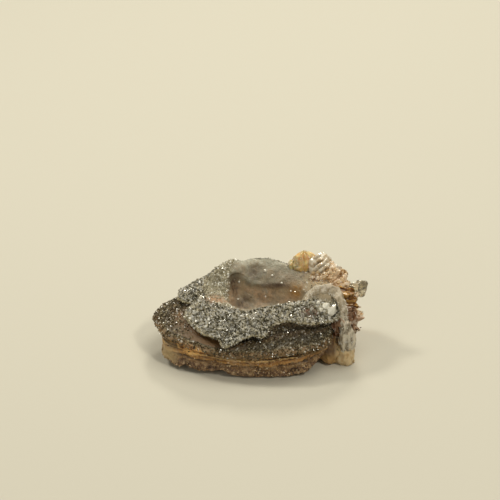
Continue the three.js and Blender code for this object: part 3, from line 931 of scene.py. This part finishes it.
# The white crystals: milky quartz points, larger than the druse, that grew at the right end of the plate.
# Smaller white points set singly in the bowl and on its rim stand for its glints: painted highlights. Finer
# points of the same quartz dust the curled lamella.
def set_crystal(place, width, height, spin):
    """A quartz point set in the body's face where it is nearest to a place in millimetres."""
    flat = points.reshape(-1, 3)
    nearest = np.argmin(np.linalg.norm(flat - np.array(place), axis=1))
    upright = Vector(outward(points).reshape(-1, 3)[nearest]).to_track_quat("Z", "Y").to_matrix()
    turned = upright @ Euler((0, 0, spin)).to_matrix()
    sized = [Vector((v.co.x * width, v.co.y * width, v.co.z * height)) for v in crystal.data.vertices]
    shape_points = np.array([tuple(turned @ v) for v in sized]) + flat[nearest]
    return shape_points, [tuple(p.vertices) for p in crystal.data.polygons], np.zeros(len(shape_points))


def sugar(piece, amount, seed):
    """Stores where a finer druse has settled on a petal, in loose patches."""
    places = np.array([v.co for v in piece.data.vertices]) / MM
    keep_mask(piece, "sugar", np.clip(1.6 * cloud(places, 1.6, 3, seed) + amount, 0, 1))


WHITE_CRYSTALS_AND_GLINTS = (
    ((12.9, -4.5, 12.6), 1.5, 1.9, 0.3), ((14.1, -5, 12), 1.9, 2.4, 1.1), ((12, -5.6, 12.4), 0.9, 1.1, 0.7),
    ((11.4, -4.2, 13.2), 0.9, 1, 0.1), ((14.8, -3.8, 12.4), 0.9, 1, 0.5),
    # From here on: small white points in the bowl and on its back rim, set where glints shine, as painted
    # highlights.
    ((-4.7, 8.1, 15.2), 0.5, 0.6, 0.2), ((1.1, 7, 13.4), 0.7, 0.7, 0.9), ((2.5, 6, 12.9), 0.5, 0.5, 0.4),
    ((-4, 5.5, 11.7), 0.5, 0.5, 0.6), ((-6.1, 4.8, 13.9), 0.5, 0.6, 0.8), ((4.3, 5, 12), 0.45, 0.5, 0.1),
    ((-4.1, 3.5, 9), 0.45, 0.5, 0.3), ((5.3, 7.6, 14.3), 0.45, 0.5, 0.7), ((6.2, 4, 10.7), 0.35, 0.4, 0.2),
)
white_crystals = join_shapes("white_crystals", [set_crystal(*each) for each in WHITE_CRYSTALS_AND_GLINTS])
white_crystals.data.shade_flat()
milky_quartz_and_glints = Finish("milky_quartz_and_glints", roughness=0.12, clear=0.15)
# White: the milky quartz's own colour at the plate's end, painted highlights in the bowl.
milky_quartz_and_glints.coat("fffcf4", ("e2dccb", milky_quartz_and_glints.mottle(0.8, 0.4, 0.7)))
settle(white_crystals, milky_quartz_and_glints)
sugar(curled, 0.35, 32)
grow(
    "curl_druse", curled, milky_quartz_and_glints, "sugar",
    spacing=0.24, widths=(0.06, 0.22), lean=0.7, seed=6,
)


# The tangle below the fan: small reddish blades, thin flakes of glassy chalcedony that grew every way. They
# stand on three ribbed petals and on the end of the body, from the fan down to the foot.
def glassy_blade():
    """One thin flake of unit length with a bent, pointed outline."""
    edge = ((0.16, -0.2), (0.3, 0.2), (0.24, 0.6), (0.05, 0.95), (-0.16, 0.7), (-0.28, 0.3), (-0.14, -0.2))
    bend = [0.18 * z ** 2 for _, z in edge]
    front = [(x, -0.05 + b, z) for (x, z), b in zip(edge, bend)]
    back = [(x * 0.9, 0.05 + b, z) for (x, z), b in zip(edge, bend)]
    count = len(edge)
    faces = [tuple(range(count)), tuple(range(2 * count - 1, count - 1, -1))]
    faces += [(k, count + k, count + (k + 1) % count, (k + 1) % count) for k in range(count)]
    piece = new_piece("glassy_blade", np.array(front + back) / MM, faces)
    piece.data.shade_flat()
    return piece


TANGLE = (
    ((14.6, -1, 9.6), (18.8, -1.9, 8.9), (0, -0.7, 0.7), 3, 1.5),
    ((14.6, -1.6, 8.2), (18.9, -2.6, 7.2), (0.1, -0.8, 0.5), 3, 1.5),
    ((14.8, -2, 6.8), (18.5, -3, 5.6), (0.2, -0.8, 0.4), 2.8, 1.4),
)
blade = glassy_blade()
russet = tinted_quartz(
    "russet_blades", 0.1, 0.4, "b89a7c", (0.0, "6c4733"), (0.4, "98765b"), (0.8, "c4a68a"), (1.0, "f8eede"),
)
tangle_core = petals("tangle_core", TANGLE, seed=170, ribs=2.6, rib_depth=0.4, crumple=0.5, detail=(26, 44))
settle(tangle_core, russet)
grow(
    "tangle_blades", tangle_core, russet, "length", blade,
    spacing=0.7, widths=(1.2, 2.4), lean=0.9, seed=15,
)
grow(
    "russet_blades", rose, russet, "tangle", blade,
    spacing=0.36, widths=(0.9, 2.6), lean=0.9, seed=9,
)

# The honey lobe: two upright petals of cloudy, waxy honey chalcedony that grew at the back of the rim. They
# are ribbed along their length and dusted with fine white druse.
HONEY_GLOW = (1.0, 0.6, 0.3)
LOBE = (
    ((8.8, 7.2, 11), (8.9, 8, 17.2), (-0.1, -1, 0.4), 6, 2.6),
    ((7.2, 7.4, 12), (6.7, 7.9, 15.6), (-0.1, -1, 0.4), 2.8, 1.8),
)
lobe = petals("honey_lobe", LOBE, seed=70, step=1, ribs=2.2, rib_depth=0.35, crumple=0.26)
honey = Finish("honey_chalcedony", roughness=0.1, clear=0.25, glow=0.5, glow_tint=HONEY_GLOW, glow_depth=1.2)
honey.coat(
    "f2c884",
    ("f2dbae", honey.mottle(2.2, 0.4, 0.65)),
    ("8a5722", honey.mottle(1.6, 0.6, 0.76)),
)
honey.roughen(honey.mottle(0.9), strength=0.35, depth=0.2)
settle(lobe, honey)
sugar(lobe, -0.1, 31)
grow("lobe_druse", lobe, milky_quartz_and_glints, "sugar", spacing=0.2, widths=(0.06, 0.2), lean=0.8, seed=11)

# The glassy ridges: a pale dome of clear chalcedony beside the lobe. Four curved ridges run over it from the
# bowl to its crown, grown one behind another.
DOME = (
    ((11, 6.4, 12.4), (12.9, 7, 17.3), (-0.2, -0.9, 0.4), 4.4, 3.2),
    ((10.4, 6.2, 12.6), (11.2, 6.8, 16.8), (-0.2, -0.9, 0.4), 3, 2.6),
)
RIDGES = (
    ((10.4, 6.7, 15.8), (10.9, 6.5, 16.8), (11.6, 6.7, 17.2), (12.3, 7.2, 17.2)),
    ((10.3, 6, 14.9), (10.9, 5.8, 16), (11.8, 5.9, 16.7), (12.9, 6.7, 16.9)),
    ((10.8, 5.3, 14.6), (11.4, 5.2, 15.6), (12.4, 5.5, 16.2), (13.5, 6.4, 16.4)),
    ((11.4, 4.9, 14.4), (12.2, 4.8, 15.2), (13, 5.2, 15.6), (13.9, 6, 15.9)),
)
RIDGE_WIDTHS = (0.5, 1, 1.1, 0.6)
RIDGE_THICK = 0.7
RIDGE_FACING = (-0.5, 0.1, 0.8)
RIDGE_CRUMPLE = 0.18
ridge_shapes = [lens_shape(*part, crumple=0.2, seed=90 + 3 * n) for n, part in enumerate(DOME)]
for n, path in enumerate(RIDGES):
    seed = 96 + 3 * n
    ridge_shapes.append(ribbon(path, RIDGE_WIDTHS, RIDGE_THICK, RIDGE_FACING, RIDGE_CRUMPLE, seed, (30, 20)))
ridges = join_shapes("glassy_ridges", ridge_shapes)
pale_glass = Finish("pale_lamella", roughness=0.05, clear=0.25)
pale_glass.coat("f8efde", ("ccb390", pale_glass.mottle(1.2, 0.45, 0.6)))
pale_glass.roughen(pale_glass.mottle(0.9), strength=0.25, depth=0.1)
settle(ridges, pale_glass)

# The amber lamellae: three streaked leaves of dark honey chalcedony, stacked where the fan meets the tangle.
# They grew out of the body's end, thin and nearly level.
AMBER = (
    ((12.8, 0.6, 12), (18.3, 0.2, 12.6), (0, -0.6, 0.8), 3.4, 1.1),
    ((13, 0.2, 11.2), (18.8, -0.2, 11.4), (0.1, -0.8, 0.6), 3, 1),
    ((13.4, -0.4, 10.2), (18.9, -0.9, 10.2), (-0.1, -0.7, 0.7), 2.6, 1),
)
amber_lamella = petals("amber_lamella", AMBER, seed=140, ribs=2.4, rib_depth=0.3, crumple=0.3)
dark_honey = Finish("dark_honey", roughness=0.2, clear=0.12, glow=0.4, glow_tint=HONEY_GLOW)
amber_streaks = dark_honey.mottle(0.9, 0.46, 0.6, dark_honey.stretched(0.3, 1, 1))
dark_honey.coat("b68a48", ("5a3413", amber_streaks))
settle(amber_lamella, dark_honey)

# The fan: thin tan flakes of glassy chalcedony that grew out of the rim one behind another, on three ribbed
# petals with a crust of tan crystals. Each line is a petal's place in the fan, from the ridges to the foot.
FAN_MASS = (
    ((9.6, 4.4, 10.6), (14.6, 5.6, 15.4), (-0.4, -0.7, 0.6), 5, 2.6),
    ((10.6, 2.8, 10.4), (16.6, 4.4, 14), (-0.3, -0.7, 0.7), 4.6, 2.6),
    ((11, 1.8, 10), (17.4, 3, 12.6), (-0.2, -0.6, 0.8), 4, 2.4),
)
FAN_LINE = (
    ((11.2, 4, 11.2), (14, 5.7, 15.9), (-0.5, -0.7, 0.5), 4, 0.8),
    ((11.4, 2.6, 11), (15.6, 4.8, 15.1), (-0.4, -0.8, 0.6), 4, 0.8),
    ((11.4, 1.6, 10.8), (17.2, 3.8, 14), (-0.3, -0.7, 0.7), 4, 0.8),
    ((11.6, 1.2, 10.2), (17.9, 2.8, 12.6), (-0.1, -0.6, 0.8), 4, 0.8),
    ((11.8, 0.2, 9.6), (18.4, 1.2, 11.2), (0, -0.6, 0.8), 4, 0.8),
    ((12.4, -0.8, 9.2), (19, -0.6, 10.2), (0, -0.7, 0.7), 3.4, 0.7),
    ((13, -1.8, 8), (19.5, -2, 8.6), (0, -0.8, 0.6), 3, 0.7),
    ((13, -2.6, 6.8), (19, -3.6, 6.6), (0.2, -0.8, 0.4), 2.8, 0.7),
    ((14, -2.4, 5.6), (18.9, -3, 4.9), (0.3, -0.8, 0.3), 2.6, 0.7),
)
FLAKES = 34
FLAKE_SEED = 21
picks = np.random.default_rng(FLAKE_SEED)


def fan_flake(n):
    """One flake of the fan, between two of its lines and a little out of step with its neighbours."""
    along = (n + 0.5) / FLAKES * (len(FAN_LINE) - 1)
    k = min(int(along), len(FAN_LINE) - 2)
    part = along - k
    pairs = zip(FAN_LINE[k], FAN_LINE[k + 1])
    between = [np.array(near) * (1 - part) + np.array(far) * part for near, far in pairs]
    root, tip, faces, width, thick = between
    reach = picks.uniform(0.62, 0.98)
    start = root + picks.normal(0, 0.3, 3)
    end = root + (tip - root) * reach + picks.normal(0, 0.35, 3)
    faces = faces + picks.normal(0, 0.35, 3)
    width = width * picks.uniform(0.35, 0.7)
    thick = thick * picks.uniform(0.7, 1.2)
    return lens_shape(
        start, end, faces, width, thick, ribs=2.6, rib_depth=0.35, cup=0.5, crumple=0.3, seed=300 + 3 * n,
        detail=(20, 32),
    )


fan_mass = petals("fan_mass", FAN_MASS, seed=120, ribs=2.4, rib_depth=0.5, crumple=0.5)
flakes = join_shapes("fan_flakes", [fan_flake(n) for n in range(FLAKES)])
tan_glass = tinted_quartz(
    "tan_flakes", 0.12, 0.35, "cbb08a", (0.0, "d2b796"), (0.35, "efdcbe"), (0.7, "f8ead4"), (1.0, "fffaf0"),
)
flake_tone = tan_glass.lay(tan_glass.tint, ("9c7752", tan_glass.mottle(1.1, 0.58, 0.72)))
# The flakes and petals are painted dark brown towards their roots, where they crowd one behind another:
# painted shade.
tan_glass.coat("7c5a34", (flake_tone, tan_glass.spread(tan_glass.mask("length"), 0.3, 0.7)))
tan_glass.roughen(tan_glass.mottle(0.5), strength=0.5, depth=0.15)
settle(fan_mass, tan_glass)
settle(flakes, tan_glass)
tan_crystals = tinted_quartz(
    "tan_blades", 0.12, 0.35, "c9ad80", (0.0, "ae8d62"), (0.2, "d6c09a"), (0.7, "eee0c8"), (1.0, "fff9ee"),
)
grow(
    "fan_crust", fan_mass, tan_crystals, "length",
    spacing=0.34, widths=(0.3, 0.8), lean=1.0, seed=12,
)
bpy.data.objects.remove(blade)
bpy.data.objects.remove(crystal)

# The far petals: five broad, cupped lamellae of the same tan chalcedony at the back of the fan. They grew
# one over another, from the lobe round to the end of the body.
FAR_PETALS = (
    ((8.6, 4, 9.6), (12.6, 9.8, 14), (0.7, -0.5, 0.5), 6.4, 1.2),
    ((10, 3, 9.6), (16.2, 7.8, 12.8), (0.5, -0.5, 0.7), 6.4, 1.2),
    ((11, 2, 8.6), (19.2, 5, 10), (0.3, -0.2, 0.9), 7, 1.2),
    ((11, 3, 7), (17.6, 7.8, 7.8), (0.1, 0.3, 1), 7, 1.2),
    ((12, 0, 6.6), (19.8, 1.2, 7.2), (0, 0.1, 1), 7, 1.2),
)
far_petals = petals("far_petals", FAR_PETALS, seed=150, ribs=3.2, rib_depth=0.4, cup=0.5, crumple=0.3)
settle(far_petals, tan_glass)

# The clear knob: two rounded lobes of colourless quartz at the right tip of the fan. They grew on the end of
# a petal and can be seen through.
KNOB = (
    ((16.8, 2.4, 11.8), (20.8, 2.8, 13.2), (0, -0.8, 0.6), 2.2, 2.2),
    ((20, 2.7, 13.5), (19.9, 1.6, 10.9), (1, 0, 0), 1.9, 1.9),
)
knob = petals("clear_knob", KNOB, seed=200, step=1, crumple=0.5)
knob_quartz = Finish("clear_knob", roughness=0.05, clear=0.85)
knob_quartz.shader.inputs["Base Color"].default_value = paint("dcd3bd")
settle(knob, knob_quartz)

# The studio: a plain pale floor, five soft boxes and the camera. The camera looks down on the rose at the
# photograph's angle, with the rose as large and as far off the middle as it is there.
FLOOR_REACH = 3
IMAGE_SIDE = 500
PIXEL = 0.195 * MM
CENTRE_PIXEL = (261, 321.9)
OBJECT_CENTRE = Vector((0, 0, 6 * MM))
VIEW_RISE = math.radians(32)
LENS = 170
SENSOR = 36
NEAREST = 0.01
WARM_WHITE = "fffaea"
SOFT_BOXES = (
    ("overhead_box", (0.12, 0.12, 0.5), 0.3, 1.2),
    ("front_fill", (-0.3, -0.4, 0.3), 0.3, 0.4),
    ("left_spark", (-0.25, 0.1, 0.35), 0.08, 0.72),
    ("right_spark", (0.22, -0.2, 0.4), 0.08, 0.72),
    ("back_spark", (0.05, 0.35, 0.3), 0.08, 0.72),
)
corners = ((-1, -1), (1, -1), (1, 1), (-1, 1))
floor_points = [(a * FLOOR_REACH / MM, b * FLOOR_REACH / MM, 0) for a, b in corners]
floor = new_piece("floor", floor_points, [(0, 1, 2, 3)])
floor_paper = bpy.data.materials.new("floor_paper")
floor_paper.use_nodes = True
paper = floor_paper.node_tree.nodes["Principled BSDF"].inputs
paper["Base Color"].default_value = paint("c4c0b4")
paper["Roughness"].default_value = 0.9
floor.data.materials.append(floor_paper)

distance = IMAGE_SIDE * PIXEL * LENS / SENSOR
pixel_turn = PIXEL / distance
pitch = VIEW_RISE - math.atan((CENTRE_PIXEL[1] - IMAGE_SIDE / 2) * pixel_turn)
yaw = math.atan((CENTRE_PIXEL[0] - IMAGE_SIDE / 2) * pixel_turn)
lens = bpy.data.cameras.new("camera")
lens.lens = LENS
lens.sensor_width = SENSOR
lens.clip_start = NEAREST
camera = add_object("camera", lens)
camera.location = OBJECT_CENTRE + distance * Vector((0, -math.cos(VIEW_RISE), math.sin(VIEW_RISE)))
camera.rotation_euler = Euler((math.pi / 2 - pitch, 0, yaw), "XYZ")
bpy.context.scene.camera = camera

for name, place, size, watts in SOFT_BOXES:
    lamp = bpy.data.lights.new(name, "AREA")
    lamp.size = size
    lamp.energy = watts
    lamp.color = paint(WARM_WHITE)[:3]
    box = add_object(name, lamp)
    box.location = place
    box.rotation_euler = (OBJECT_CENTRE - Vector(place)).to_track_quat("-Z", "Y").to_euler()
world = bpy.data.worlds.new("studio")
world.use_nodes = True
sky = world.node_tree.nodes["Background"].inputs
sky["Color"].default_value = paint("c4c2b2")
sky["Strength"].default_value = 0.25
bpy.context.scene.world = world
bpy.context.scene.view_settings.view_transform = "Standard"

bpy.context.view_layer.update()
